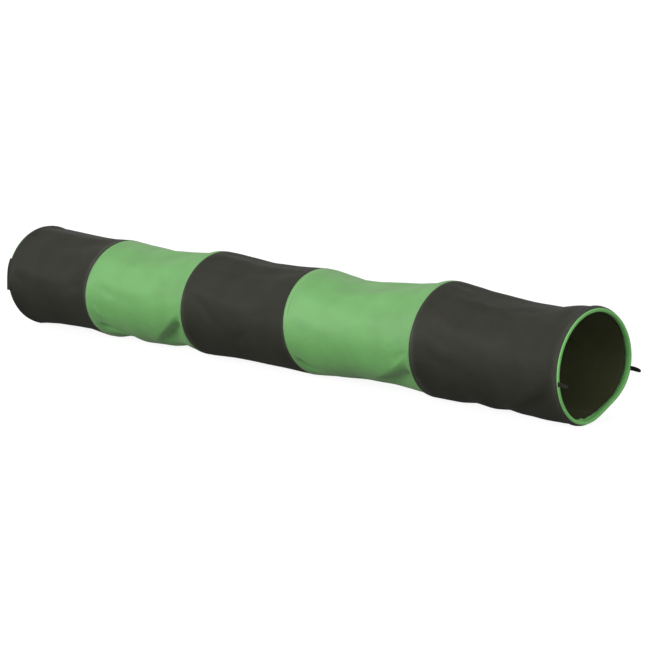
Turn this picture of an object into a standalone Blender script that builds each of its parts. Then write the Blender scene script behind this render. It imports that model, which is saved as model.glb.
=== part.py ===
"""Agility tunnel for small animals, in metres, +Z up.

Five sewn fabric panels stand on six spring-wire hoops. The tunnel lies along X on the
plane Z = 0, its far mouth towards -X and its near mouth towards +X. Each seam between
two panels sits over a hoop, which runs in a tape sewn inside, and each mouth hoop runs
in a green binding. Pushing the hoops together folds the tunnel into a flat pack.
"""
import math

import bmesh
import bpy
from mathutils import Vector

# Driving dimensions.
RADIUS = 0.090  # outside of the fabric where it crosses a hoop
PANEL_LENGTHS = (0.225, 0.255, 0.250, 0.278, 0.285)  # from the far mouth to the near one
PANEL_WAISTS = (0.035, 0.100, 0.050, 0.120, 0.070)  # how far each panel draws in, of RADIUS
WALL = 0.0010  # a panel's thickness
GAP = 0.0003  # left between neighbours

# How far each hoop is out of round, from the far mouth to the near one. The near one is
# pressed in on one side, and rests lower and further over for it.
HOOP_HEIGHTS = (1.0, 0.975, 1.0, 0.975, 1.03, 1.012)  # height of the ring, of its diameter
NEAR_DENT = 0.20  # of its radius
NEAR_DENT_ANGLE = math.radians(27)  # from straight down towards +Y
NEAR_DENT_SPREAD = math.radians(40)
NEAR_DROP = 0.0071
NEAR_SHIFT = 0.003  # towards +Y

# The flat that the tunnel's weight presses along its underside.
FLAT_DEPTH = 0.0009
FLAT_HALF_ANGLE = math.radians(7.9)

# Rings are turned in this many flats, with one flat at the very bottom.
SEGMENTS = 36
HALF_FACET = math.pi / SEGMENTS

# The wire hoop and the sleeve that joins its two ends.
WIRE_RADIUS = 0.0011
SLEEVE_RADIUS = 0.0021
SLEEVE_BORE = 0.0015
SLEEVE_LENGTH = 0.010
SLEEVE_ANGLE = math.radians(90) - 6 * HALF_FACET  # in the middle of a flat, up on the +Y side
WIRE_END_GAP = 0.0010
CASING_TOP = RADIUS - WALL - GAP  # what lies inside the fabric reaches out to here
WIRE_RING_RADIUS = CASING_TOP - SLEEVE_RADIUS

# The casing that each hoop runs in: a channel with flat legs sewn to the fabric.
CLOTH = 0.0008
CHANNEL_HALF = SLEEVE_RADIUS + GAP
CASING_HALF = CHANNEL_HALF + CLOTH
CHANNEL_FLOOR = WIRE_RING_RADIUS - SLEEVE_RADIUS - GAP
TAPE_HALF_WIDTH = 0.0060
FACING_WIDTH = 0.0085  # the mouth binding's leg inside the tunnel, from the hoop

# The fabric runs straight over a casing before it draws in.
STRAIGHT = FACING_WIDTH + 0.0015
WAIST_POWER = 2.4

# Elastic loops on the near mouth.
LOOP_CORD = 0.00125
LOOP_HALF_WIDTH = 0.0042
LOOP_STRAIGHT = 0.0125
LOOP_ANGLES = (math.radians(187), math.radians(353))  # from +Y towards +Z
LOOP_RING_RADIUS = 0.0885

# Closing straps on the far mouth.
STRAP_WIDTH = 0.010
STRAP_THICK = 0.0012
STRAP_TOP = math.radians(25)  # above the middle of the side
STRAP_HANG = 0.019
STRAP_STANDOFF = 0.0006

LENGTH = sum(PANEL_LENGTHS)
LOOP_REACH = GAP + 2 * LOOP_CORD + LOOP_STRAIGHT + LOOP_HALF_WIDTH

CHARCOAL = (0.045, 0.043, 0.037)
GREEN = (0.16, 0.42, 0.15)
BINDING_GREEN = (0.13, 0.48, 0.14)
BLACK = (0.018, 0.018, 0.016)
STEEL = (0.55, 0.56, 0.58)


class Station:
    """One upright hoop: where it stands and how far it is out of round."""

    def __init__(self, index, x):
        self.index = index
        self.height = HOOP_HEIGHTS[index]
        self.dented = index == len(HOOP_HEIGHTS) - 1
        shift, drop = (NEAR_SHIFT, NEAR_DROP) if self.dented else (0.0, FLAT_DEPTH)
        self.center = Vector((x, shift, RADIUS * self.height - drop))

    def roundness(self, angle):
        if not self.dented:
            return 1.0
        offset = (angle - NEAR_DENT_ANGLE) / NEAR_DENT_SPREAD
        return 1.0 - NEAR_DENT * math.exp(-offset * offset)

    def seat(self, point):
        """Carry a point of a round ring about X to its place on this hoop."""
        along, side, up = point
        radius = math.hypot(side, up)
        angle = math.atan2(side, -up)
        if abs(angle) < 1.01 * HALF_FACET:
            angle *= FLAT_HALF_ANGLE / HALF_FACET
        out = radius * self.roundness(angle)
        side = out * math.sin(angle)
        up = -out * self.height * math.cos(angle)
        placed = self.center + Vector((along, side, up))
        placed.z = max(placed.z, RADIUS - radius)
        return placed


def make_stations():
    """Hoops from the far mouth to the near one, the whole object centred on X = 0."""
    start = -(LENGTH + LOOP_REACH) / 2
    edges = [start + sum(PANEL_LENGTHS[:k]) for k in range(len(PANEL_LENGTHS) + 1)]
    edges[0] += CASING_HALF
    edges[-1] -= CASING_HALF
    return [Station(k, x) for k, x in enumerate(edges)]


STATIONS = make_stations()
FAR, NEAR = STATIONS[0], STATIONS[-1]


# Scene helpers.

def clear_scene():
    for item in list(bpy.data.objects):
        bpy.data.objects.remove(item, do_unlink=True)


def make_collection(name):
    collection = bpy.data.collections.new(name)
    bpy.context.scene.collection.children.link(collection)
    return collection


def make_material(name, color, roughness, metallic=0.0):
    material = bpy.data.materials.new(name)
    material.use_nodes = True
    shader = material.node_tree.nodes["Principled BSDF"]
    shader.inputs["Base Color"].default_value = (*color, 1.0)
    shader.inputs["Roughness"].default_value = roughness
    shader.inputs["Metallic"].default_value = metallic
    material.diffuse_color = (*color, 1.0)
    return material


def add_object(name, data, material, parent, collection):
    data.materials.append(material)
    item = bpy.data.objects.new(name, data)
    collection.objects.link(item)
    item.parent = parent
    return item


def add_empty(name, location, collection):
    empty = bpy.data.objects.new(name, None)
    empty.empty_display_size = 0.02
    empty.location = location
    collection.objects.link(empty)
    return empty


def shade_round(mesh):
    mesh.shade_smooth()
    mesh.set_sharp_from_angle(angle=math.radians(30))


# Turned rings.

def ring_start():
    """Unit vector to the first corner of every ring, half a flat away from the top."""
    return Vector((0.0, math.cos(math.pi / 2 + HALF_FACET), math.sin(math.pi / 2 + HALF_FACET)))


def turn(profile, closed, steps=SEGMENTS):
    """Turn an (along, radius) profile about X and return the mesh, faces outwards."""
    outline = bpy.data.meshes.new("profile")
    corner = ring_start()
    points = [(along, radius * corner.y, radius * corner.z) for along, radius in profile]
    edges = [(k, k + 1) for k in range(len(points) - 1)]
    if closed:
        edges.append((len(points) - 1, 0))
    outline.from_pydata(points, edges, [])
    lathe = bpy.data.objects.new("lathe", outline)
    bpy.context.scene.collection.objects.link(lathe)
    screw = lathe.modifiers.new("turn", "SCREW")
    screw.axis = "X"
    screw.angle = 2 * math.pi
    screw.steps = steps
    screw.render_steps = steps
    screw.use_merge_vertices = True
    screw.merge_threshold = 0.00001
    graph = bpy.context.evaluated_depsgraph_get()
    mesh = bpy.data.meshes.new_from_object(lathe.evaluated_get(graph))
    bpy.data.objects.remove(lathe, do_unlink=True)
    bpy.data.meshes.remove(outline)
    shell = bmesh.new()
    shell.from_mesh(mesh)
    bmesh.ops.recalc_face_normals(shell, faces=shell.faces)
    shell.to_mesh(mesh)
    shell.free()
    return mesh


def seat_mesh(mesh, place, origin):
    """Move every vertex to its place, and count it from the piece's origin."""
    for vertex in mesh.vertices:
        vertex.co = place(vertex.co) - origin
    mesh.update()


def seated_ring(name, station, profile, material, parent, collection):
    mesh = turn(profile, closed=True)
    seat_mesh(mesh, station.seat, station.center)
    shade_round(mesh)
    return add_object(name, mesh, material, parent, collection)


def tape_profile():
    """Seam tape: a channel for the hoop, between two legs sewn to the panels."""
    leg_under = CASING_TOP - CLOTH
    half = [
        (TAPE_HALF_WIDTH, CASING_TOP),
        (TAPE_HALF_WIDTH, leg_under),
        (CASING_HALF, leg_under),
        (CASING_HALF, CHANNEL_FLOOR - CLOTH),
    ]
    channel = [
        (-CHANNEL_HALF, CASING_TOP),
        (-CHANNEL_HALF, CHANNEL_FLOOR),
        (CHANNEL_HALF, CHANNEL_FLOOR),
        (CHANNEL_HALF, CASING_TOP),
    ]
    mirrored = [(-along, radius) for along, radius in reversed(half)]
    return channel + half + mirrored


def binding_profile(mouthward):
    """Mouth binding: an end wall over the panel's edge, a channel and a facing inside."""
    leg_under = CASING_TOP - CLOTH
    profile = [
        (CASING_HALF, RADIUS),
        (CHANNEL_HALF, RADIUS),
        (CHANNEL_HALF, CHANNEL_FLOOR),
        (-CHANNEL_HALF, CHANNEL_FLOOR),
        (-CHANNEL_HALF, CASING_TOP),
        (-FACING_WIDTH, CASING_TOP),
        (-FACING_WIDTH, leg_under),
        (-CASING_HALF, leg_under),
        (-CASING_HALF, CHANNEL_FLOOR - CLOTH),
        (CASING_HALF, CHANNEL_FLOOR - CLOTH),
    ]
    return [(along * mouthward, radius) for along, radius in profile]


# Hoops.

def corner_angles():
    """Angles of a ring's corners from +Y towards +Z, starting past the sleeve."""
    return [SLEEVE_ANGLE + HALF_FACET * (2 * k + 1) for k in range(SEGMENTS)]


def wire_path(station):
    """The hoop's centre line, open in the middle of the flat that the sleeve covers."""
    points = [Vector((0.0, math.cos(a), math.sin(a))) * WIRE_RING_RADIUS for a in corner_angles()]
    first, last = points[0], points[-1]
    middle = (first + last) / 2
    toward_first = (first - last).normalized()
    ends = toward_first * WIRE_END_GAP / 2
    path = [middle + ends, *points, middle - ends]
    return [station.seat(point) - station.center for point in path]


def add_curve(name, points, radius, material, parent, collection):
    curve = bpy.data.curves.new(name, "CURVE")
    curve.dimensions = "3D"
    curve.bevel_depth = radius
    curve.bevel_resolution = 2
    curve.use_fill_caps = True
    spline = curve.splines.new("POLY")
    spline.points.add(len(points) - 1)
    for target, point in zip(spline.points, points):
        target.co = (*point, 1.0)
    return add_object(name, curve, material, parent, collection)


def add_sleeve(name, station, material, parent, collection):
    """Crimp sleeve: a short straight tube along the flat where the wire's ends meet."""
    half = SLEEVE_LENGTH / 2
    profile = [(-half, SLEEVE_BORE), (-half, SLEEVE_RADIUS), (half, SLEEVE_RADIUS), (half, SLEEVE_BORE)]
    mesh = turn(profile, closed=True, steps=16)
    out = Vector((0.0, math.cos(SLEEVE_ANGLE), math.sin(SLEEVE_ANGLE)))
    tangent = Vector((0.0, -math.sin(SLEEVE_ANGLE), math.cos(SLEEVE_ANGLE)))
    axis = Vector((1.0, 0.0, 0.0))
    middle = out * WIRE_RING_RADIUS * math.cos(HALF_FACET)

    def place(point):
        return station.seat(middle + tangent * point.x + out * point.y + axis * point.z)

    seat_mesh(mesh, place, station.center)
    shell = bmesh.new()
    shell.from_mesh(mesh)
    bmesh.ops.recalc_face_normals(shell, faces=shell.faces)
    shell.to_mesh(mesh)
    shell.free()
    shade_round(mesh)
    return add_object(name, mesh, material, parent, collection)


# Panels.

def panel_span(index):
    """How far a panel reaches from each of its two hoops."""
    mouth_edge = CHANNEL_HALF - GAP
    before = -mouth_edge if index == 0 else GAP / 2
    after = mouth_edge if index == len(PANEL_LENGTHS) - 1 else -GAP / 2
    return before, after


def add_panel(name, index, material, parent, collection):
    """A fabric tube between two hoops, drawn in between them."""
    back, front = STATIONS[index], STATIONS[index + 1]
    length = front.center.x - back.center.x
    before, after = panel_span(index)
    free = length - 2 * STRAIGHT

    def radius_at(fraction):
        hump = 1.0 - abs(2 * fraction - 1) ** WAIST_POWER
        return RADIUS * (1.0 - PANEL_WAISTS[index] * hump)

    profile = [(before, RADIUS)]
    for fraction in (0.0, 0.14, 0.5, 0.86, 1.0):
        profile.append((STRAIGHT + free * fraction, radius_at(fraction)))
    profile.append((length + after, RADIUS))
    mesh = turn(profile, closed=False)

    def place(point):
        share = min(max((point.x - STRAIGHT) / free, 0.0), 1.0)
        share = share * share * (3 - 2 * share)
        from_back = back.seat(point)
        from_front = front.seat(point - Vector((length, 0.0, 0.0)))
        return from_back.lerp(from_front, share)

    seat_mesh(mesh, place, back.center if index == 0 else front.center)
    shade_round(mesh)
    panel = add_object(name, mesh, material, parent, collection)
    wall = panel.modifiers.new("wall", "SOLIDIFY")
    wall.thickness = WALL
    wall.offset = -1.0
    wall.use_even_offset = True
    return panel


# Loops and straps.

def add_loop(name, angle, material, collection):
    """A cord loop that stands out of the near mouth, hinged where it is sewn in."""
    out = Vector((0.0, math.cos(angle), math.sin(angle)))
    tangent = Vector((0.0, -math.sin(angle), math.cos(angle)))
    root = NEAR.seat(out * LOOP_RING_RADIUS + Vector((CASING_HALF + GAP + LOOP_CORD, 0.0, 0.0)))
    hinge = add_empty(f"{name}_hinge", root, collection)
    points = [-tangent * LOOP_HALF_WIDTH]
    turns = 8
    for step in range(turns + 1):
        bend = math.pi * step / turns
        along = LOOP_STRAIGHT + LOOP_HALF_WIDTH * math.sin(bend)
        points.append(Vector((along, 0.0, 0.0)) - tangent * LOOP_HALF_WIDTH * math.cos(bend))
    points.append(tangent * LOOP_HALF_WIDTH)
    return add_curve(name, points, LOOP_CORD, material, hinge, collection)


def strap_edge(offset):
    """One side of the strap's outline in (side, up), from its sewn top to its free end."""
    steps = 5
    radius = RADIUS + STRAP_STANDOFF + offset
    arc = [(radius * math.cos(a), radius * math.sin(a))
           for a in (STRAP_TOP * (1 - k / steps) for k in range(steps + 1))]
    return [*arc, (radius, -STRAP_HANG)]


def add_strap(name, side, material, collection):
    """A webbing strap sewn to the far mouth at its top, which hangs down the side."""
    middle_radius = RADIUS + STRAP_STANDOFF + STRAP_THICK / 2
    root = Vector((FAR.center.x - CASING_HALF + STRAP_WIDTH / 2,
                   side * middle_radius * math.cos(STRAP_TOP),
                   FAR.center.z + middle_radius * math.sin(STRAP_TOP)))
    hinge = add_empty(f"{name}_hinge", root, collection)
    outline = strap_edge(0.0) + strap_edge(STRAP_THICK)[::-1]
    curve = bpy.data.curves.new(name, "CURVE")
    curve.dimensions = "2D"
    curve.fill_mode = "BOTH"
    curve.extrude = STRAP_WIDTH / 2
    spline = curve.splines.new("POLY")
    spline.points.add(len(outline) - 1)
    for target, (out, up) in zip(spline.points, outline):
        target.co = (side * out - root.y, FAR.center.z + up - root.z, 0.0, 1.0)
    spline.use_cyclic_u = True
    strap = add_object(name, curve, material, hinge, collection)
    strap.rotation_euler = (math.pi / 2, 0.0, math.pi / 2)
    return strap


def build():
    clear_scene()
    tunnel = make_collection("agility_tunnel")
    charcoal = make_material("charcoal_fabric", CHARCOAL, 0.85)
    green = make_material("green_fabric", GREEN, 0.8)
    binding = make_material("green_binding", BINDING_GREEN, 0.75)
    tape = make_material("black_tape", BLACK, 0.9)
    steel = make_material("spring_steel", STEEL, 0.3, 1.0)
    sleeve = make_material("sleeve_alloy", STEEL, 0.45, 1.0)
    elastic = make_material("black_elastic", BLACK, 0.7)
    webbing = make_material("black_webbing", BLACK, 0.8)

    last = len(STATIONS) - 1
    anchors = [add_empty(f"station_{k}", s.center, tunnel) for k, s in enumerate(STATIONS)]
    for station, anchor in zip(STATIONS, anchors):
        number = station.index + 1
        add_curve(f"hoop_{number}", wire_path(station), WIRE_RADIUS, steel, anchor, tunnel)
        add_sleeve(f"hoop_sleeve_{number}", station, sleeve, anchor, tunnel)
        if 0 < station.index < last:
            seated_ring(f"seam_tape_{station.index}", station, tape_profile(), tape, anchor, tunnel)
    seated_ring("mouth_binding_far", FAR, binding_profile(-1), binding, anchors[0], tunnel)
    seated_ring("mouth_binding_near", NEAR, binding_profile(1), binding, anchors[-1], tunnel)

    for index in range(len(PANEL_LENGTHS)):
        cloth, word = (charcoal, "charcoal") if index % 2 == 0 else (green, "green")
        anchor = anchors[index + 1] if index else anchors[0]
        add_panel(f"panel_{index + 1}_{word}", index, cloth, anchor, tunnel)

    for word, angle in zip(("left", "right"), LOOP_ANGLES):
        add_loop(f"near_loop_{word}", angle, elastic, tunnel)
    for word, side in (("left", -1.0), ("right", 1.0)):
        add_strap(f"closing_strap_{word}", side, webbing, tunnel)


build()
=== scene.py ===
"""Looks of the agility tunnel: five fabric panels over six wire hoops, with bound mouths.

The tunnel lies along X on Z = 0, far mouth towards -X and near mouth towards +X. Angles
round it are counted from straight down, through +Y, so the top is at pi. Every soft CAD
solid is replaced by cloth made here, and every piece rides on a body of the CAD model.
"""
import math

import bmesh
import bpy
import numpy as np
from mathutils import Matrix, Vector


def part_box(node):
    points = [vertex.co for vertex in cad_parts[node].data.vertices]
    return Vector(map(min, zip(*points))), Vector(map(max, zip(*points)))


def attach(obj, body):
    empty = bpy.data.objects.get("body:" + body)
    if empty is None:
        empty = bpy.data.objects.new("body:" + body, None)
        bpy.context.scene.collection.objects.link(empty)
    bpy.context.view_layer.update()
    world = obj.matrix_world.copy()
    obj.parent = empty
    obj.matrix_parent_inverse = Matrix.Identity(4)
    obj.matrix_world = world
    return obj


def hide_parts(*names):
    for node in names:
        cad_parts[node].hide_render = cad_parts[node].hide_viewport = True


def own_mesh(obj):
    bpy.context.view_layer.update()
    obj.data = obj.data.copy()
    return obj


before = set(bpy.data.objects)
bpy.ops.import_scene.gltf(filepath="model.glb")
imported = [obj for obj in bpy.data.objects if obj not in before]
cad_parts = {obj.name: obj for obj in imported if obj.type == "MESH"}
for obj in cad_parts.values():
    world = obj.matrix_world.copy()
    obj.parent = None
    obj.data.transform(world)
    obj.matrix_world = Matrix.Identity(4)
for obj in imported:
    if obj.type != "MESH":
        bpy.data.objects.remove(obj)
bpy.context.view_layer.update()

TAU = 2 * math.pi
MM = 0.001

NODES = ("panel_1_charcoal", "panel_2_green", "panel_3_charcoal", "panel_4_green",
         "panel_5_charcoal")
STATIONS = ("far_mouth", "seam_1", "seam_2", "seam_3", "seam_4", "near_mouth")

# The tunnel's section.
RADIUS = 90 * MM  # outside of the fabric over a hoop
FLAT_DEPTH = 0.9 * MM  # how far the tunnel's weight presses its underside flat
RING_BLEND, FABRIC_BLEND = 0.5 * MM, 0.4 * MM  # how gently each rounds off into that flat
HEIGHTS = (1.0, 0.975, 1.0, 0.975, 1.03, 1.012)  # each ring's height, as a share of its width
# The near mouth is pressed in on one side, and rests lower and further over for it.
DENT, DENT_ANGLE, DENT_SPREAD = 0.20, math.radians(27), math.radians(40)
NEAR_DROP, NEAR_SHIFT = 7.1 * MM, 3.0 * MM
# The four seams: how far each one leans, top to +X, and how far it sits from its hoop.
LEANS = [math.radians(degrees) for degrees in (5.0, 3.3, -4.3, 4.0)]
SEAM_SHIFTS = [mm * MM for mm in (0.0, -1.5, -1.5, -3.5)]


def middle(node):
    low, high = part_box(node)
    return (low + high) / 2


HOOP_X = [middle(f"hoop_{k + 1}").x for k in range(6)]
CENTER_Z = [RADIUS * h - FLAT_DEPTH for h in HEIGHTS[:5]] + [RADIUS * HEIGHTS[5] - NEAR_DROP]
CENTER_Y = [0.0] * 5 + [NEAR_SHIFT]


# Small maths.

def smooth(t):
    t = np.clip(t, 0.0, 1.0)
    return t * t * (3 - 2 * t)


def soft_max(a, b, width):
    return 0.5 * (a + b + np.sqrt((a - b) ** 2 + width * width))


def turn_from(angle, phi):
    """How far phi is from an angle, the short way round."""
    return np.angle(np.exp(1j * (phi - angle)))


def catmull_rom(a, b, c, d, t):
    """A smooth curve through four evenly spaced values, from the second to the third."""
    slope = c - a
    bend = 2 * a - 5 * b + 4 * c - d
    change = 3 * b - a - 3 * c + d
    return 0.5 * (2 * b + slope * t + bend * t ** 2 + change * t ** 3)


def middle_line(x):
    """(side, up) of the tunnel's middle line."""
    return np.interp(x, HOOP_X, CENTER_Y), np.interp(x, HOOP_X, CENTER_Z)


# The fabric's shape.

def roundness(station, phi):
    """The ring's radius at that angle, as a share of a round one: only the near mouth is dented."""
    if station != 5:
        return np.ones_like(phi)
    offset = turn_from(DENT_ANGLE, phi) / DENT_SPREAD
    return 1 - DENT * np.exp(-offset * offset)


def ring(station, phi, radius):
    """(side, up) of a ring's points, pressed flat on the floor or on the layers below it."""
    out = radius * roundness(station, phi)
    side = CENTER_Y[station] + out * np.sin(phi)
    up = CENTER_Z[station] - out * HEIGHTS[station] * np.cos(phi)
    return side, soft_max(up, RADIUS - radius, RING_BLEND)


def seam_x(station, phi):
    """Where the seam near a hoop crosses that angle: the seams lean a little."""
    up = -RADIUS * HEIGHTS[station] * np.cos(phi)
    return HOOP_X[station] + SEAM_SHIFTS[station - 1] + math.tan(LEANS[station - 1]) * up


# How the fabric draws in between the hoops. Each row holds (share of the way, dip as a
# share of the radius), for the top, the underside and the two sides of that panel.
DIPS = (
    dict(top=((0.3, 0.012), (0.7, 0.020)),
         under=((0.3, 0.05), (0.75, 0.065)),
         side=((0.5, 0.015),)),
    dict(top=((0.2, 0.05), (0.42, 0.095), (0.75, 0.08), (0.92, 0.055)),
         under=((0.12, 0.07), (0.24, 0.08), (0.36, 0.01), (0.6, 0.03), (0.82, 0.12), (0.93, 0.04)),
         side=((0.5, 0.02),)),
    dict(top=((0.25, 0.03), (0.45, 0.062), (0.7, 0.05)),
         under=((0.25, 0.03), (0.7, 0.02)),
         side=((0.5, 0.015),)),
    dict(top=((0.12, 0.06), (0.24, 0.125), (0.42, 0.155), (0.75, 0.13), (0.92, 0.075)),
         under=((0.2, 0.05), (0.48, 0.10), (0.8, 0.08), (0.93, 0.05)),
         side=((0.5, 0.03),)),
    dict(top=((0.14, 0.045), (0.26, 0.085), (0.55, 0.13), (0.76, 0.10), (0.92, 0.01)),
         under=((0.14, 0.0), (0.28, 0.04), (0.42, 0.0), (0.54, 0.03), (0.66, -0.012),
                (0.82, -0.02), (0.94, -0.012)),
         side=((0.5, 0.015),)),
)
FLAT_RUN = 6 * MM  # the fabric keeps the hoop's radius this far from it
MOUTH_RUN = 9 * MM  # and this far from a mouth's hoop, over the facing
CREASE_FADE = 0.06  # creases fade out over this share of a panel, at both ends

# Soft creases: panel, place along it as a share, angle in degrees, length and width of the
# crease in mm, its slant from the tunnel's axis in degrees, and its depth in mm, where less
# than nothing is a ridge.
CREASES = (
    (1, 0.05, 283, 26, 6, 52, 1.4),
    (1, 0.10, 291, 30, 6, 52, -1.6),
    (3, 0.96, 276, 26, 5, -25, 1.2),
    (3, 0.90, 288, 44, 6, -35, -1.5),
    (3, 0.97, 311, 26, 6, -50, -1.5),
    (3, 0.62, 322, 36, 10, 10, 1.8),
    (4, 0.40, 333, 24, 8, 0, 2.5),
    (4, 0.62, 340, 30, 9, 0, 2.5),
    (2, 0.24, 268, 50, 26, 40, 1.6),
    (2, 0.55, 292, 50, 22, -35, 1.2),
    (0, 0.55, 300, 60, 26, 35, 1.2),
    (0, 0.45, 205, 60, 20, -40, 1.0),
    (2, 0.40, 150, 60, 20, 30, 1.5),
    (1, 0.60, 120, 70, 16, -35, 2.0),
    (3, 0.35, 130, 70, 16, 30, 2.4),
    (4, 0.55, 110, 80, 18, -25, 2.0),
    (0, 0.50, 95, 60, 16, 30, 1.8),
)
# Folds: the cloth drops over an edge as the angle grows, and comes back slowly. Each has its
# panel, place along it, angle, length, slant, depth, the edge's width and the way back.
FOLDS = (
    (1, 0.79, 300, 124, -38, 13.0, 18, 36),
    (1, 0.20, 318, 66, 30, 10.0, 12, 18),
    (3, 0.10, 311, 56, 46, 8.0, 12, 20),
    (3, 0.80, 305, 124, -30, 11.0, 26, 34),
    (4, 0.80, 298, 110, -34, 4.5, 22, 34),
    (1, 0.85, 70, 60, 30, 5.0, 12, 24),
    (3, 0.14, 66, 60, -36, 5.0, 12, 24),
    (2, 0.86, 72, 60, 28, 4.0, 12, 22),
)
# As shares of the edge's width: the drop starts this far before a fold's own line, and the
# way back starts this far after it.
DROP_START, BACK_START = 0.3, 0.6


def dip_along(points, t):
    """A smooth line through the dips, nothing at both ends."""
    knots = [(0.0, 0.0), *points, (1.0, 0.0)]
    value = np.zeros_like(t)
    for (t0, d0), (t1, d1) in zip(knots, knots[1:]):
        inside = (t >= t0) & (t <= t1)
        share = (t - t0) / (t1 - t0)
        value = np.where(inside, d0 + (d1 - d0) * (0.5 * smooth(share) + 0.5 * share), value)
    return value


def crease_frame(panel, along, phi, at, angle, slant):
    """How far points lie along and across a crease's own line."""
    a = along - at * (HOOP_X[panel + 1] - HOOP_X[panel])
    b = RADIUS * turn_from(math.radians(angle), phi)
    turn = math.radians(slant)
    return a * math.cos(turn) + b * math.sin(turn), b * math.cos(turn) - a * math.sin(turn)


def crease_depth(panel, along, phi):
    total = np.zeros_like(along)
    for where, at, angle, run, width, slant, depth in CREASES:
        if where == panel:
            lengthwise, across = crease_frame(panel, along, phi, at, angle, slant)
            off_middle = (lengthwise / (run / 2 * MM)) ** 2
            off_line = (across / (width / 2 * MM)) ** 2
            total += depth * MM * np.exp(-off_middle - off_line)
    return total


def fold_depth(panel, along, phi):
    total = np.zeros_like(along)
    for where, at, angle, run, slant, depth, edge, back in FOLDS:
        if where == panel:
            lengthwise, across = crease_frame(panel, along, phi, at, angle, slant)
            dropped = smooth(across / (edge * MM) + DROP_START)
            returned = smooth((across - BACK_START * edge * MM) / (back * MM))
            drop = dropped * (1 - returned)
            total += depth * MM * drop * np.exp(-(lengthwise / (run / 2 * MM)) ** 4)
    return total


def surface(x, phi):
    """Points of the fabric's outside at x and phi, as arrays of one shape."""
    x, phi = np.broadcast_arrays(np.asarray(x, float), np.asarray(phi, float))
    side, up, inset = np.zeros_like(x), np.zeros_like(x), np.zeros_like(x)
    top = np.maximum(-np.cos(phi), 0) ** 2
    under = np.maximum(np.cos(phi), 0) ** 2
    for panel in range(5):
        x0, x1 = HOOP_X[panel], HOOP_X[panel + 1]
        inside = (x >= x0) & (x <= x1)
        if panel == 0:
            inside |= x < x0
        if panel == 4:
            inside |= x > x1
        first = MOUTH_RUN if panel == 0 else FLAT_RUN
        last = MOUTH_RUN if panel == 4 else FLAT_RUN
        t = np.clip((x - x0 - first) / (x1 - x0 - first - last), 0, 1)
        share = smooth(t)
        s0, u0 = ring(panel, phi, RADIUS)
        s1, u1 = ring(panel + 1, phi, RADIUS)
        dips = DIPS[panel]
        dip = (dip_along(dips["top"], t) * top + dip_along(dips["under"], t) * under
               + dip_along(dips["side"], t) * (1 - top - under)) * RADIUS
        fade = smooth(t / CREASE_FADE) * smooth((1 - t) / CREASE_FADE)
        dip = dip + (crease_depth(panel, x - x0, phi) + fold_depth(panel, x - x0, phi)) * fade
        side = np.where(inside, s0 + (s1 - s0) * share, side)
        up = np.where(inside, u0 + (u1 - u0) * share, up)
        inset = np.where(inside, dip, inset)
    middle_y, middle_z = middle_line(x)
    scale = 1 - inset / np.hypot(side - middle_y, up - middle_z)
    side = middle_y + (side - middle_y) * scale
    up = soft_max(middle_z + (up - middle_z) * scale, 0.0, FABRIC_BLEND)
    return np.stack([x, side, up], axis=-1)


def outward(points):
    """Unit vectors away from the tunnel's middle line."""
    middle_y, middle_z = middle_line(points[..., 0])
    out = np.stack([np.zeros_like(middle_y), points[..., 1] - middle_y, points[..., 2] - middle_z],
                   axis=-1)
    return out / np.linalg.norm(out, axis=-1, keepdims=True)


# Mesh helpers.

def add_item(name, data):
    item = bpy.data.objects.new(name, data)
    bpy.context.scene.collection.objects.link(item)
    return item


def add_mesh(name, points, faces, uv=None, material=None):
    mesh = bpy.data.meshes.new(name)
    mesh.from_pydata(np.asarray(points).reshape(-1, 3).tolist(), [], faces)
    if uv is not None:
        layer = mesh.uv_layers.new(name="UVMap")
        flat = np.array([uv[i] for face in faces for i in face], dtype=np.float32)
        layer.data.foreach_set("uv", flat.ravel())
    mesh.update()
    mesh.shade_smooth()
    if material:
        mesh.materials.append(material)
    return add_item(name, mesh)


def tube_grid(rows, columns, flip=False):
    """Faces of a tube's grid, whose last column lies on its first one until it is welded."""
    faces = []
    for r in range(rows - 1):
        for c in range(columns - 1):
            a, b = r * columns + c, r * columns + c + 1
            quad = (a, a + columns, b + columns, b)
            faces.append(quad[::-1] if flip else quad)
    return faces


def weld(item, distance=1e-6, even=False):
    """Joins points that lie on each other and, where asked, turns all faces to one side."""
    mesh = bmesh.new()
    mesh.from_mesh(item.data)
    bmesh.ops.remove_doubles(mesh, verts=mesh.verts, dist=distance)
    if even:
        bmesh.ops.recalc_face_normals(mesh, faces=mesh.faces)
    mesh.to_mesh(item.data)
    mesh.free()


def give_wall(item, thickness, offset, inside_slot=0):
    """Makes a sheet thick. At offset -1 its faces stay the outside, at 0 they end up halfway."""
    wall = item.modifiers.new("wall", "SOLIDIFY")
    wall.thickness = thickness
    wall.offset = offset
    wall.material_offset = inside_slot
    graph = bpy.context.evaluated_depsgraph_get()
    mesh = bpy.data.meshes.new_from_object(item.evaluated_get(graph))
    old = item.data
    item.modifiers.clear()
    item.data = mesh
    bpy.data.meshes.remove(old)
    mesh.name = item.name


def cut_mesh(source, low, high):
    """A copy of the mesh between two planes across the tunnel, or nothing."""
    cut = bmesh.new()
    cut.from_mesh(source)
    for plane, side in ((low, "clear_inner"), (high, "clear_outer")):
        bmesh.ops.bisect_plane(cut, geom=cut.verts[:] + cut.edges[:] + cut.faces[:], dist=1e-7,
                               plane_co=(plane, 0, 0), plane_no=(1, 0, 0), **{side: True})
    mesh = None
    if cut.faces:
        mesh = source.copy()
        cut.to_mesh(mesh)
    cut.free()
    return mesh


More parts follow.
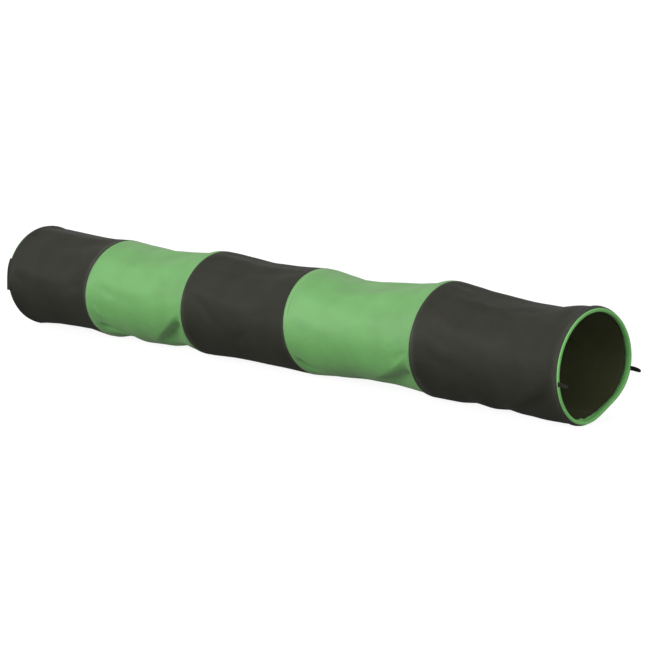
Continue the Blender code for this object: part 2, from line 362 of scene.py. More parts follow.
def join_items(name, items, material):
    """One object made of several, which it takes the place of."""
    joined = bmesh.new()
    for item in items:
        joined.from_mesh(item.data)
    mesh = bpy.data.meshes.new(name)
    joined.to_mesh(mesh)
    joined.free()
    mesh.materials.append(material)
    for item in items:
        old = item.data
        bpy.data.objects.remove(item, do_unlink=True)
        bpy.data.meshes.remove(old)
    return add_item(name, mesh)


# Materials.

NOISE_LOW, NOISE_HIGH = 0.3, 0.7  # a noise's values lie mostly between these


class Nodes:
    """A short way to build a node tree."""

    def __init__(self, name):
        self.material = bpy.data.materials.new(name)
        self.material.use_nodes = True
        self.tree = self.material.node_tree
        self.shader = self.tree.nodes["Principled BSDF"]

    def add(self, kind, **settings):
        node = self.tree.nodes.new(kind)
        for key, value in settings.items():
            setattr(node, key, value)
        return node

    def feed(self, socket, value):
        if hasattr(value, "is_output"):
            self.tree.links.new(value, socket)
        else:
            socket.default_value = value

    def math(self, operation, a, b=0.0):
        node = self.add("ShaderNodeMath", operation=operation)
        self.feed(node.inputs[0], a)
        self.feed(node.inputs[1], b)
        return node.outputs[0]

    def mix(self, factor, a, b):
        node = self.add("ShaderNodeMix", data_type="RGBA")
        self.feed(node.inputs[0], factor)
        self.feed(node.inputs[6], a)
        self.feed(node.inputs[7], b)
        return node.outputs[2]

    def noise(self, vector, scale, detail=2.0, roughness=0.5):
        node = self.add("ShaderNodeTexNoise")
        self.feed(node.inputs["Vector"], vector)
        self.feed(node.inputs["Scale"], scale)
        self.feed(node.inputs["Detail"], detail)
        self.feed(node.inputs["Roughness"], roughness)
        return node.outputs["Fac"]

    def stretch(self, vector, scale):
        node = self.add("ShaderNodeMapping")
        self.feed(node.inputs["Vector"], vector)
        node.inputs["Scale"].default_value = scale
        return node.outputs[0]

    def remap(self, value, low, high, to_low=0.0, to_high=1.0):
        node = self.add("ShaderNodeMapRange")
        self.feed(node.inputs[0], value)
        for index, number in enumerate((low, high, to_low, to_high), start=1):
            node.inputs[index].default_value = number
        return node.outputs[0]

    def bump(self, height, distance, strength, normal=None):
        node = self.add("ShaderNodeBump")
        node.inputs["Strength"].default_value = strength
        node.inputs["Distance"].default_value = distance
        self.feed(node.inputs["Height"], height)
        if normal is not None:
            self.feed(node.inputs["Normal"], normal)
        return node.outputs[0]


def shade(color, factor):
    return tuple(min(channel * factor, 1.0) for channel in color[:3]) + (1.0,)


def woven(name, color, pitch, sheen, tint=None, contrast=0.12, relief=0.12 * MM, gloss=0.4,
          ior=1.5):
    """Plain-woven cloth on UVs in metres: threads, slubs, soft stains of tone, rubbed crests."""
    roughness, roughness_spread = 0.62, 0.06
    slub_tone, thread_tone, tone_range = 0.08, 0.07, 0.3
    darkest, lightest = shade(color, 0.72), shade(color, 1.28)
    n = Nodes(name)
    uv = n.add("ShaderNodeUVMap").outputs[0]
    parts = n.add("ShaderNodeSeparateXYZ")
    n.feed(parts.inputs[0], uv)
    warp = n.math("SINE", n.math("MULTIPLY", parts.outputs[0], math.pi / pitch))
    weft = n.math("SINE", n.math("MULTIPLY", parts.outputs[1], math.pi / pitch))
    over = n.math("MULTIPLY", warp, weft)
    threads = n.math("ADD", n.math("MULTIPLY", over, 0.5), 0.5)
    slub_a = n.noise(n.stretch(uv, (900, 40, 1)), 1.0, 3.0)
    slub_b = n.noise(n.stretch(uv, (40, 900, 1)), 1.0, 3.0)
    slubs = n.math("MULTIPLY", n.math("ADD", slub_a, slub_b), 0.5)
    cloud = n.noise(uv, 14.0, 4.0, 0.55)
    tone = n.math("ADD", n.remap(cloud, NOISE_LOW, NOISE_HIGH, -contrast, contrast),
                  n.remap(slubs, NOISE_LOW, NOISE_HIGH, -slub_tone, slub_tone))
    tone = n.math("ADD", tone, n.remap(threads, 0.0, 1.0, -thread_tone, thread_tone))
    light = n.mix(n.remap(tone, -tone_range, tone_range), darkest, lightest)
    rub = n.add("ShaderNodeAttribute", attribute_name="rub").outputs["Fac"]
    dusty = n.mix(0.22, shade(color, 1.3), (0.55, 0.53, 0.48, 1.0))
    rubbed = n.math("MULTIPLY", rub, n.remap(cloud, 0.35, 0.65, 0.3, 1.0))
    n.feed(n.shader.inputs["Base Color"], n.mix(rubbed, light, dusty))
    fine = n.bump(n.math("ADD", threads, n.math("MULTIPLY", slubs, 0.8)), relief, 0.8)
    n.feed(n.shader.inputs["Normal"], n.bump(n.noise(uv, 60.0, 3.0), 0.6 * MM, 0.5, fine))
    n.feed(n.shader.inputs["Roughness"],
           n.remap(slubs, NOISE_LOW, NOISE_HIGH, roughness - roughness_spread,
                   roughness + roughness_spread))
    n.shader.inputs["Sheen Weight"].default_value = sheen
    n.shader.inputs["Sheen Roughness"].default_value = 0.45
    n.shader.inputs["Sheen Tint"].default_value = shade(tint or color, 1.0)
    n.shader.inputs["Specular IOR Level"].default_value = gloss
    n.shader.inputs["IOR"].default_value = ior
    return n.material


def metal(name, color, roughness, scale):
    """Drawn metal with fine scratches and a little tarnish."""
    n = Nodes(name)
    place = n.add("ShaderNodeTexCoord").outputs["Object"]
    tarnish = n.noise(place, scale, 4.0)
    stained = n.remap(tarnish, 0.35, 0.7)
    rough = n.remap(tarnish, NOISE_LOW, NOISE_HIGH, roughness - 0.08, roughness + 0.12)
    n.feed(n.shader.inputs["Base Color"], n.mix(stained, shade(color, 1.0), shade(color, 0.6)))
    n.feed(n.shader.inputs["Roughness"], rough)
    n.feed(n.shader.inputs["Normal"], n.bump(n.noise(place, scale * 12, 2.0), 0.05 * MM, 0.4))
    n.shader.inputs["Metallic"].default_value = 1.0
    return n.material


def thread(name, color):
    """Twisted sewing thread."""
    n = Nodes(name)
    place = n.add("ShaderNodeTexCoord").outputs["Object"]
    twist = n.noise(n.stretch(place, (2500, 2500, 2500)), 1.0, 1.0)
    n.feed(n.shader.inputs["Base Color"], n.mix(twist, shade(color, 0.75), shade(color, 1.25)))
    n.feed(n.shader.inputs["Normal"], n.bump(twist, 0.05 * MM, 0.5))
    n.shader.inputs["Roughness"].default_value = 0.7
    n.shader.inputs["Sheen Weight"].default_value = 0.2
    return n.material


CHARCOAL = (0.0225, 0.0230, 0.0150)
GREEN = (0.112, 0.352, 0.080)
BINDING = (0.19, 0.55, 0.15)
LINING = (0.058, 0.063, 0.026)
BLACK = (0.022, 0.020, 0.017)
STEEL = (0.56, 0.57, 0.60)
PANEL_PITCH = 0.55 * MM  # between the panels' threads

charcoal_cloth = woven("charcoal_cloth", CHARCOAL, PANEL_PITCH, 0.0, contrast=0.20, gloss=0.25)
green_cloth = woven("green_cloth", GREEN, PANEL_PITCH, 0.10, tint=(1.0, 0.93, 0.78), gloss=1.0,
                    ior=1.55)
binding_cloth = woven("binding_cloth", BINDING, 0.45 * MM, 0.15, tint=(0.6, 0.9, 0.6),
                      contrast=0.10)
charcoal_lining = woven("charcoal_lining", LINING, PANEL_PITCH, 0.10, tint=(0.5, 0.5, 0.35))
green_lining = woven("green_lining", shade(GREEN, 0.8), PANEL_PITCH, 0.10, tint=(0.6, 0.8, 0.5))
tape_cloth = woven("tape_cloth", BLACK, 0.8 * MM, 0.10)
webbing_cloth = woven("webbing_cloth", shade(BLACK, 0.8), 1.1 * MM, 0.05, relief=0.3 * MM,
                      gloss=0.3)
elastic_cloth = woven("elastic_cloth", shade(BLACK, 0.6), 0.9 * MM, 0.03, relief=0.3 * MM,
                      gloss=0.25)
spring_steel = metal("spring_steel_wire", STEEL, 0.28, 120.0)
sleeve_metal = metal("sleeve_alloy", STEEL, 0.4, 200.0)
dark_thread = thread("dark_thread", shade(CHARCOAL, 0.8))
green_thread = thread("green_thread", shade(GREEN, 0.8))


# Camera, floor and light.

def place_camera():
    azimuth, elevation, distance = math.radians(44.73), math.radians(9.82), 3.669
    target = Vector((0.0790, 0.0, 0.0819))
    backward = Vector((math.sin(azimuth) * math.cos(elevation),
                       -math.cos(azimuth) * math.cos(elevation), math.sin(elevation)))
    data = bpy.data.cameras.new("camera")
    data.sensor_width = 36.0
    data.lens = 123.45
    data.clip_end = 50.0
    camera = add_item("camera", data)
    camera.location = target + backward * distance
    camera.rotation_euler = backward.to_track_quat("Z", "Y").to_euler()
    bpy.context.scene.camera = camera


def add_light(name, place, target, size, power):
    data = bpy.data.lights.new(name, "AREA")
    data.shape = "DISK"
    data.size = size
    data.energy = power
    lamp = add_item(name, data)
    lamp.location = place
    lamp.rotation_euler = (Vector(place) - Vector(target)).to_track_quat("Z", "Y").to_euler()


def make_floor():
    """A floor that glows, so that it shows white, but throws no light on the tunnel."""
    bpy.ops.mesh.primitive_circle_add(vertices=96, radius=60.0, fill_type="NGON",
                                      location=(0, 0, 0))
    floor = bpy.context.object
    floor.name = "studio_floor"
    floor.visible_diffuse = False
    floor.visible_glossy = False
    paint = Nodes("studio_white")
    paint.shader.inputs["Base Color"].default_value = (0.20, 0.20, 0.20, 1.0)
    paint.shader.inputs["Emission Color"].default_value = (1.0, 1.0, 1.0, 1.0)
    paint.shader.inputs["Emission Strength"].default_value = 0.90
    paint.shader.inputs["Roughness"].default_value = 0.9
    paint.shader.inputs["Specular IOR Level"].default_value = 0.1
    floor.data.materials.append(paint.material)


def make_sky():
    """A grey sky, darker below the horizon, so that the undersides stay dark."""
    below, above, blend = 0.20, 0.66, 0.02
    world = bpy.data.worlds.new("studio_world")
    world.use_nodes = True
    tree = world.node_tree
    sky = tree.nodes["Background"]
    sky.inputs["Strength"].default_value = 1.0
    direction = tree.nodes.new("ShaderNodeTexCoord")
    split = tree.nodes.new("ShaderNodeSeparateXYZ")
    ramp = tree.nodes.new("ShaderNodeMapRange")
    tree.links.new(direction.outputs["Generated"], split.inputs[0])
    tree.links.new(split.outputs[2], ramp.inputs[0])
    for index, number in enumerate((-blend, 0.0, below, above), start=1):
        ramp.inputs[index].default_value = number
    tree.links.new(ramp.outputs[0], sky.inputs["Color"])
    bpy.context.scene.world = world


def make_studio():
    make_floor()
    make_sky()
    add_light("front_softbox", (-0.5, -3.0, 1.3), (0.0, 0.0, 0.08), 1.8, 68.0)
    add_light("side_softbox", (2.6, -1.7, 0.6), (0.6, 0.0, 0.08), 0.8, 15.0)
    scene = bpy.context.scene
    scene.view_settings.view_transform = "Standard"
    scene.view_settings.look = "None"


# The panels' cloth simulation, on an even grid. The cloth is cut a little long, wide and
# askew against the shape that it hangs in.

SIM_ROWS, SIM_COLUMNS, SIM_FRAMES = 49, 108, 36
SLACK_ROUND = 0.006
SLACK_LONG = 0.010
TWISTS = [math.radians(degrees) for degrees in (1.2, -3.0, 1.6, 3.2, -2.4)]
RIPPLE = 0.3 * MM  # uneven start, so that the cloth can fall either way
PINNED = 7 * MM  # the cloth is held this far from its edges
LOOSE_PIN = 0.06  # how firmly the rest is held, where a pin is 1
CAP = 4.5 * MM  # the most that it moves
FREE_FROM, FREE_REACH = 4 * MM, 14 * MM  # where it starts to move, and how far that grows
TUCK = 3.0 * MM  # at a mouth the fabric runs this far past the hoop
drape = {}


def panel_edges(panel, phi):
    """x of a panel's two edges. At a mouth it runs up to the binding's fold."""
    start = np.full_like(phi, HOOP_X[0] - TUCK) if panel == 0 else seam_x(panel, phi)
    end = np.full_like(phi, HOOP_X[5] + TUCK) if panel == 4 else seam_x(panel + 1, phi)
    return start, end


def grid_faces():
    """Faces of the simulation's grid, closed round the tunnel."""
    faces = []
    for r in range(SIM_ROWS - 1):
        low, high = r * SIM_COLUMNS, (r + 1) * SIM_COLUMNS
        for c in range(SIM_COLUMNS):
            d = (c + 1) % SIM_COLUMNS
            faces.append((low + c, low + d, high + d, high + c))
    return faces


def cut_shape(panel, x, share, shape):
    """The shape that the panel's cloth was cut to."""
    twist = TWISTS[panel] * share
    middle_y, middle_z = middle_line(x)
    side = (shape[..., 1] - middle_y) * (1 + SLACK_ROUND)
    up = (shape[..., 2] - middle_z) * (1 + SLACK_ROUND)
    return np.stack([x[:1] + (x - x[:1]) * (1 + SLACK_LONG),
                     middle_y + side * np.cos(twist) - up * np.sin(twist),
                     middle_z + side * np.sin(twist) + up * np.cos(twist)], axis=-1)


def hang_cloth(item, pattern, held):
    """Makes the item a cloth cut to the pattern, and held where held is true."""
    item.shape_key_add(name="hung")
    cut = item.shape_key_add(name="cut")
    cut.data.foreach_set("co", pattern.ravel())
    pins = item.vertex_groups.new(name="sewn")
    pins.add([int(k) for k in np.flatnonzero(held)], 1.0, "REPLACE")
    pins.add([int(k) for k in np.flatnonzero(~held)], LOOSE_PIN, "REPLACE")
    cloth = item.modifiers.new("cloth", "CLOTH")
    settings = cloth.settings
    settings.quality = 5
    settings.mass = 0.02
    settings.air_damping = 3.0
    settings.tension_stiffness = 20.0
    settings.compression_stiffness = 20.0
    settings.shear_stiffness = 8.0
    settings.bending_stiffness = 8.0
    settings.pin_stiffness = 1.0
    settings.vertex_group_mass = "sewn"
    settings.rest_shape_key = cut
    cloth.collision_settings.use_collision = False
    cloth.point_cache.frame_start = 1
    cloth.point_cache.frame_end = SIM_FRAMES


def capped_movement(panel, moved, from_start, from_end):
    """The movement kept under its cap, and let go next to the hoops."""
    far = np.linalg.norm(moved, axis=-1, keepdims=True) + 1e-9
    first = MOUTH_RUN if panel == 0 else FREE_FROM
    last = MOUTH_RUN if panel == 4 else FREE_FROM
    free = smooth((from_start - first) / FREE_REACH) * smooth((from_end - last) / FREE_REACH)
    return moved * (CAP * np.tanh(far / CAP) / far) * free[..., None]


def simulate_panels():
    """Each panel hangs from its two hoops as cloth, and drape keeps how far it moves."""
    phi = np.linspace(0, TAU, SIM_COLUMNS, endpoint=False)[None, :]
    share = np.linspace(0, 1, SIM_ROWS)[:, None]
    faces = grid_faces()
    ready = []
    for panel in range(5):
        start, end = panel_edges(panel, phi)
        x = start + (end - start) * share
        shape = surface(x, phi)
        ripple = RIPPLE * np.sin(3 * phi + 9 * share + panel) * np.sin(5 * phi - 7 * share)
        begin = shape + outward(shape) * (ripple * np.sin(math.pi * share))[..., None]
        item = add_mesh(f"hanging_{panel + 1}", begin, faces)
        held = (np.minimum(x - start, end - x) < PINNED).ravel()
        hang_cloth(item, cut_shape(panel, x, share, shape), held)
        ready.append((item, shape, x - start, end - x))
    scene = bpy.context.scene
    for frame_number in range(1, SIM_FRAMES + 1):
        scene.frame_set(frame_number)
    graph = bpy.context.evaluated_depsgraph_get()
    for panel, (item, shape, from_start, from_end) in enumerate(ready):
        mesh = bpy.data.meshes.new_from_object(item.evaluated_get(graph))
        hung = np.empty(len(mesh.vertices) * 3)
        mesh.vertices.foreach_get("co", hung)
        moved = hung.reshape(shape.shape) - shape
        drape[panel] = capped_movement(panel, moved, from_start, from_end)
        bpy.data.objects.remove(item, do_unlink=True)
        bpy.data.meshes.remove(mesh)
    scene.frame_set(1)


def draped(panel, share, phi):
    """How far the simulated cloth lies from the shape it started in."""
    grid = drape.get(panel)
    if grid is None:
        return np.zeros(share.shape + (3,))
    rows, columns = len(grid), grid.shape[1]
    r = np.clip(share, 0, 1) * (rows - 1)
    c = (phi % TAU) / TAU * columns
    r0 = np.floor(r).astype(int)
    t = (r - r0)[..., None]
    c0 = np.floor(c).astype(int)
    u = (c - c0)[..., None]
    lines = []
    for dr in (-1, 0, 1, 2):
        row = np.clip(r0 + dr, 0, rows - 1)
        picks = [grid[row, (c0 + dc) % columns] for dc in (-1, 0, 1, 2)]
        lines.append(catmull_rom(*picks, u))
    return catmull_rom(*lines, t)


# Panels.

COLUMNS = 280
FABRIC = 0.7 * MM  # its thickness
FELL_ANGLES = [math.radians(degrees) for degrees in (62, 70, 58, 66, 15)]
FELL_HALF = 3.4 * MM  # half the width of a panel's lengthwise seam
FELL_HEIGHT = 0.45 * MM
FELL_STEPS = (3.0, 3.4, 3.9)  # mm from its middle: extra columns where its edge drops
SEAM_SINK, SEAM_REACH = 0.55 * MM, 0.9 * MM  # the groove next to a seam, and its width
MOUTH_ROLL, ROLL_AT, ROLL_REACH = 1.8 * MM, 9 * MM, 6 * MM  # the crest behind a binding
MOUTH_TURN, TURN_REACH = 1.6 * MM, 5 * MM  # how the fabric turns in at a mouth's edge
FLOOR_GAP = 0.05 * MM
FAR_OFF = 1.0  # further than any part of the tunnel
WEAR = 0.35  # how far the cloth is rubbed over the hoops and the lengthwise seams
HEM = 4.0 * MM  # the fabric this close to a hoop stays on it when the tunnel folds
CLOSE = 1e-6  # a piece that reaches no further than this into a zone has no part there


def row_places():
    """Shares of the way along a panel, close together next to its two seams."""
    near = [0.0, 0.0025, 0.005, 0.010, 0.017, 0.026, 0.038, 0.052, 0.068]
    inner = list(np.linspace(0.086, 0.914, 72))
    return np.array(near + inner + [1 - t for t in reversed(near)])


def column_places(panel):
    """Angles round a panel, with a few more over its lengthwise seam."""
    even = np.linspace(0, TAU, COLUMNS + 1)
    steps = np.array([side * step for side in (-1, 1) for step in FELL_STEPS])
    return np.sort(np.concatenate([even, FELL_ANGLES[panel] + steps * MM / RADIUS]))


def fell_distance(panel, phi):
    """How far round the tunnel an angle is from the panel's lengthwise seam."""
    return RADIUS * np.abs(turn_from(FELL_ANGLES[panel], phi))


def panel_points(panel, share, phi):
    """Points of a finished panel's outside."""
    share, phi = np.broadcast_arrays(share, phi)
    start, end = panel_edges(panel, phi)
    x = start + (end - start) * share
    points = surface(x, phi) + draped(panel, share, phi)
    away = np.minimum(x - start if panel > 0 else FAR_OFF, end - x if panel < 4 else FAR_OFF)
    lift = -SEAM_SINK * np.exp(-(away / SEAM_REACH) ** 2)
    over_fell = smooth((FELL_HALF + 0.4 * MM - fell_distance(panel, phi)) / (0.8 * MM))
    lift = lift + FELL_HEIGHT * over_fell * smooth(away / (6 * MM))
    if panel in (0, 4):
        mouth = x - start if panel == 0 else end - x
        roll = MOUTH_ROLL * np.exp(-((mouth - ROLL_AT) / ROLL_REACH) ** 2)
        lift = lift + roll - MOUTH_TURN * (1 - smooth(mouth / TURN_REACH))
    points = points + outward(points) * lift[..., None]
    points[..., 2] = np.maximum(points[..., 2], FLOOR_GAP)
    return points


def make_panel(panel):
    phi = column_places(panel)
    share = row_places()
    points = panel_points(panel, share[:, None], phi[None, :])
    points[:, -1] = points[:, 0]
    x = points[..., 0]
    round_way = np.broadcast_to(phi * RADIUS, x.shape)
    uv = np.stack([round_way, x - HOOP_X[panel]], axis=-1).reshape(-1, 2)
    cloth, lining = ((charcoal_cloth, charcoal_lining), (green_cloth, green_lining))[panel % 2]
    faces = tube_grid(len(share), len(phi), flip=True)
    item = add_mesh(f"cloth_{panel + 1}", points, faces, uv, cloth)
    item.data.materials.append(lining)
    distance = np.minimum(np.abs(x - HOOP_X[panel]), np.abs(HOOP_X[panel + 1] - x))
    over_hoop = WEAR * np.exp(-(distance / (5 * MM)) ** 2)
    arc = fell_distance(panel, phi)[None, :]
    over_fell = WEAR * np.exp(-((arc - FELL_HALF) / (0.8 * MM)) ** 2)
    rub = np.maximum(over_hoop, over_fell).astype(np.float32)
    item.data.attributes.new("rub", "FLOAT", "POINT").data.foreach_set("value", rub.ravel())
    weld(item)
    return item


def zone_edges(zone):
    """Even zones are a hoop and the fabric on it. Odd ones are the spans between the hoops."""
    station = zone // 2
    if zone % 2 == 0:
        low = HOOP_X[station] - HEM if station > 0 else -FAR_OFF
        high = HOOP_X[station] + HEM if station < 5 else FAR_OFF
        return low, high
    return HOOP_X[station] + HEM, HOOP_X[station + 1] - HEM


def place_in_zone(piece, zone):
    """On a hoop a piece rides with it. Between two hoops it rides with the next hoop and gets a
    mesh of its own.
    """
    station = zone // 2
    if zone % 2 == 0:
        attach(piece, STATIONS[station])
        return
    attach(piece, STATIONS[station + 1])
    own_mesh(piece)


def split_at_hoops(item, main=None):
    """Cuts a piece into zones and places each. A panel's main zone keeps the panel's own name.

    A panel's zones get the fabric's wall here, with the lining's material on the inside.
    """
    source = item.data
    places = np.empty(len(source.vertices) * 3)
    source.vertices.foreach_get("co", places)
    first, last = places[0::3].min(), places[0::3].max()
    others = []
    for zone in range(11):
        low, high = zone_edges(zone)
        if last <= low + CLOSE or first >= high - CLOSE:
            continue
        mesh = cut_mesh(source, low, high)
        if mesh is None:
            continue
        if zone == main:
            item.data = mesh
            mesh.name = item.name
            give_wall(item, FABRIC, -1.0, 1)
            place_in_zone(item, zone)
            continue
        word = "hoop" if zone % 2 == 0 else "span"
        piece = add_item(f"{item.name}_{word}_{zone // 2 + 1}", mesh)
        mesh.name = piece.name
        if main is not None:
            give_wall(piece, FABRIC, -1.0, 1)
        place_in_zone(piece, zone)
        others.append(piece)
    if main is None:
        bpy.data.objects.remove(item, do_unlink=True)
    bpy.data.meshes.remove(source)
    return others


def make_panels():
    for panel, node in enumerate(NODES):
        item = make_panel(panel)
        hems = split_at_hoops(item, main=2 * panel + 1)
        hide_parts(node)


# Stitching.

STITCH_PITCH = 3.1 * MM
STITCH_LENGTH = 2.5 * MM
STITCH_THICK = 0.26 * MM
TOPSTITCH = 2.2 * MM  # from a seam to the row on each side of it
MOUTH_ROWS = (4.9 * MM, 9.6 * MM)  # from a mouth panel's edge to its two rows
FELL_ROW = 2.2 * MM  # from a lengthwise seam's middle to its two rows


def stitch_template():
    """A stitch lying along its first axis: it dives into the cloth at both ends."""
    sides = 6
    length, thick = STITCH_LENGTH, STITCH_THICK
    points = [(-length / 2, 0.0, -thick)]
    for along, swell in ((-0.36, 0.75), (0.0, 1.0), (0.36, 0.75)):
        lift = thick * (0.35 - 4 * along * along)
        for k in range(sides):
            turn = TAU * k / sides
            points.append((along * length, math.cos(turn) * thick * swell,
                           math.sin(turn) * thick * swell + lift))
    points.append((length / 2, 0.0, -thick))
    first, second, third, tip = 1, 1 + sides, 1 + 2 * sides, 1 + 3 * sides
    faces = []
    for k in range(sides):
        n = (k + 1) % sides
        faces.append((0, first + n, first + k))
        faces.append((first + k, first + n, second + n, second + k))
        faces.append((second + k, second + n, third + n, third + k))
        faces.append((third + k, third + n, tip))
    return np.array(points), faces


def add_stitches(name, places, ahead, normal, material):
    """Stitches at the places, each along its own direction on the cloth."""
    template, template_faces = stitch_template()
    ahead = ahead / np.linalg.norm(ahead, axis=-1, keepdims=True)
    normal = normal - ahead * np.sum(normal * ahead, axis=-1, keepdims=True)
    normal = normal / np.linalg.norm(normal, axis=-1, keepdims=True)
    across = np.cross(normal, ahead)
    points = (places[:, None] + ahead[:, None] * template[None, :, 0:1]
              + across[:, None] * template[None, :, 1:2] + normal[:, None] * template[None, :, 2:3])
    faces = [tuple(k * len(template) + v for v in face)
             for k in range(len(places)) for face in template_faces]
    return add_mesh(name, points, faces, material=material)


def stitched_line(name, line, normals, material, closed=False):
    """Evenly spaced stitches along a line of close points."""
    if closed:
        line = np.concatenate([line, line[:1]])
        normals = np.concatenate([normals, normals[:1]])
    steps = np.linalg.norm(np.diff(line, axis=0), axis=1)
    run = np.concatenate([[0.0], np.cumsum(steps)])
    count = max(int(run[-1] / STITCH_PITCH), 1)
    middles = (np.arange(count) + 0.5) * run[-1] / count

    def at(values, where):
        return np.stack([np.interp(where, run, values[:, k]) for k in range(3)], axis=-1)

    after = at(line, np.minimum(middles + STITCH_PITCH / 3, run[-1]))
    before = at(line, np.maximum(middles - STITCH_PITCH / 3, 0))
    return add_stitches(name, at(line, middles), after - before, at(normals, middles), material)


def seam_line(panel, distance, from_end):
    """A line round a panel, at that distance from its edge, with the normals there."""
    phi = np.linspace(0, TAU, 720, endpoint=False)
    start, end = panel_edges(panel, phi)
    share = distance / (end - start)
    if from_end:
        share = 1 - share
    points = panel_points(panel, share, phi)
    return points, outward(points)


def make_stitching():
    dark, green = [], []
    for seam in range(1, 5):
        for panel, from_end in ((seam - 1, True), (seam, False)):
            line, normals = seam_line(panel, TOPSTITCH, from_end)
            rows, twine = (green, green_thread) if panel % 2 else (dark, dark_thread)
            rows.append(stitched_line("topstitch", line, normals, twine, closed=True))
    for panel, from_end in ((0, False), (4, True)):
        for distance in MOUTH_ROWS:
            line, normals = seam_line(panel, distance, from_end)
            dark.append(stitched_line("mouth_stitch", line, normals, dark_thread, closed=True))
    share = np.linspace(0.012, 0.988, 400)
    for panel in range(5):
        for offset in (-FELL_ROW, FELL_ROW):
            phi = np.full_like(share, FELL_ANGLES[panel] + offset / RADIUS)
            line = panel_points(panel, share, phi)
            rows, twine = (green, green_thread) if panel % 2 else (dark, dark_thread)
            rows.append(stitched_line("fell_stitch", line, outward(line), twine))
    for name, rows, twine, slot in (("dark_stitches", dark, dark_thread, "charcoal_fabric"),
                                    ("green_stitches", green, green_thread, "green_fabric")):
        split_at_hoops(join_items(name, rows, twine))


# Tapes and bindings.

CLOTH = 0.8 * MM  # a tape's thickness in the CAD model, whose middle is followed here
CHANNEL_HALF = 3.2 * MM  # half the width of the channel that holds a wire
CHANNEL_FLOOR = 84.2 * MM
CHANNEL_SIDE = 2.0 * MM  # how far its open side stays under the tape
TAPE_TOP = 88.7 * MM
TAPE_HALF = 6.0 * MM
TAPE_THICK = 0.6 * MM
BINDING_THICK = 0.7 * MM
FACING = 8.5 * MM  # how far the facing reaches back from the hoop
FACING_ROOT = 2.6  # mm back from the hoop, where the facing starts
# The casing's section in mm, out from the hoop and from the tunnel's middle.
CASING = ((-3.0, 86.4), (-1.2, 88.0), (2.0, 88.7), (3.9, 88.0), (3.4, 83.8), (-3.0, 83.8),
          (-3.2, 85.8))


def swept_ring(name, station, profile, material, columns, wave, sag):
    """An open (along, radius) line carried round a hoop, as a surface."""
    phi = np.linspace(0, TAU, columns + 1)
    rows = []
    lengths = [0.0]
    for (a0, r0), (a1, r1) in zip(profile, profile[1:]):
        lengths.append(lengths[-1] + math.hypot(a1 - a0, r1 - r0))
    for along, radius in profile:
        around = np.full_like(phi, radius) + (0 if sag is None else sag(phi, along))
        side, up = ring(station, phi, around)
        x = np.full_like(phi, HOOP_X[station] + along)
        if wave is not None:
            x = x + wave(phi, along)
        rows.append(np.stack([x, side, up], axis=-1))
    points = np.array(rows)
    points[:, -1] = points[:, 0]
    uv = [(a * RADIUS, length) for length in lengths for a in phi]
    item = add_mesh(name, points, tube_grid(len(profile), columns + 1), uv, material)
    weld(item, even=True)
    return item


def round_line(points, radius):
    """The line with each inner corner rounded."""
    steps = 4
    leg_share = 2.01  # a bend takes just under half of each leg beside it
    line = [Vector((*points[0], 0))]
    for before, corner, after in zip(points, points[1:], points[2:]):
        before, corner, after = (Vector((*p, 0)) for p in (before, corner, after))
        reach = min(radius, (before - corner).length / leg_share,
                    (after - corner).length / leg_share)
        start = corner + (before - corner).normalized() * reach
        end = corner + (after - corner).normalized() * reach
        for step in range(steps + 1):
            t = step / steps
            line.append(start * (1 - t) ** 2 + corner * 2 * t * (1 - t) + end * t * t)
    line.append(Vector((*points[-1], 0)))
    return [(p.x, p.y) for p in line]


def soft_ring(name, station, corners, material, bend, thickness, columns=180, wave=None,
              sag=None):
    """A sewn ring of tape with this section, on the hoop at that station."""
    item = swept_ring(name, station, round_line(corners, bend), material, columns, wave, sag)
    give_wall(item, thickness, 0.0)
    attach(item, STATIONS[station])
    return item


def squash_ring(item):
    """A ring that gets a mesh of its own."""
    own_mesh(item)


def make_tape(seam):
    """A tape under the seam, and the channel for the wire sewn on its inside."""
    half, inner, outer = CHANNEL_HALF - CLOTH / 2, CHANNEL_FLOOR - CLOTH / 2, TAPE_TOP - CLOTH / 2
    top = outer - CHANNEL_SIDE
    channel = [(-half, top), (-half, inner), (half, inner), (half, top)]
    item = soft_ring(f"hoop_channel_{seam}", seam, channel, tape_cloth, 0.9 * MM, TAPE_THICK)
    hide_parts(f"seam_tape_{seam}")
    flat = [(-TAPE_HALF, outer), (0.0, outer), (TAPE_HALF, outer)]
    item = soft_ring(f"hoop_tape_{seam}", seam, flat, tape_cloth, 0.5 * MM, TAPE_THICK)
    squash_ring(item)


def make_binding(station, node, sign):
    """Folded tape: a casing round the panel's edge and the hoop, and a facing back inside."""

    def free_share(along, held):
        """How free the facing is at a place: nothing up to held, all of it 6 mm further in."""
        return np.clip((-along * sign - held) / (6 * MM), 0, 1)

    def pucker(phi, along):
        return free_share(along, 3 * MM) * 0.5 * MM * (np.sin(9 * phi + 1) + 0.6 * np.sin(23 * phi))

    def hang_loose(phi, along):
        low = np.exp(-(turn_from(-0.25, phi) / 0.5) ** 2)
        depth = 6.0 + 0.7 * np.sin(17 * phi) + 0.6 * np.sin(31 * phi + 2)
        return -free_share(along, 2 * MM) * low * MM * depth

    name = node.replace("mouth_", "cloth_")
    root = -FACING_ROOT * sign * MM
    corners = [(root, 84.0 * MM), (-4.4 * sign * MM, 88.0 * MM), (-sign * FACING, 88.1 * MM)]
    facing = soft_ring(name.replace("binding", "facing"), station, corners, binding_cloth,
                       1.2 * MM, BINDING_THICK, 240, pucker, hang_loose)
    squash_ring(facing)
    corners = [(along * sign * MM, radius * MM) for along, radius in CASING]
    item = soft_ring(name, station, corners, binding_cloth, 1.8 * MM, BINDING_THICK, 240)
    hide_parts(node)


# Wires and sleeves, which keep their CAD shape.

def paint_node(name, material):
    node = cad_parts[name]
    if not node.material_slots:
        node.data.materials.append(material)
    for slot in node.material_slots:
        slot.material = material


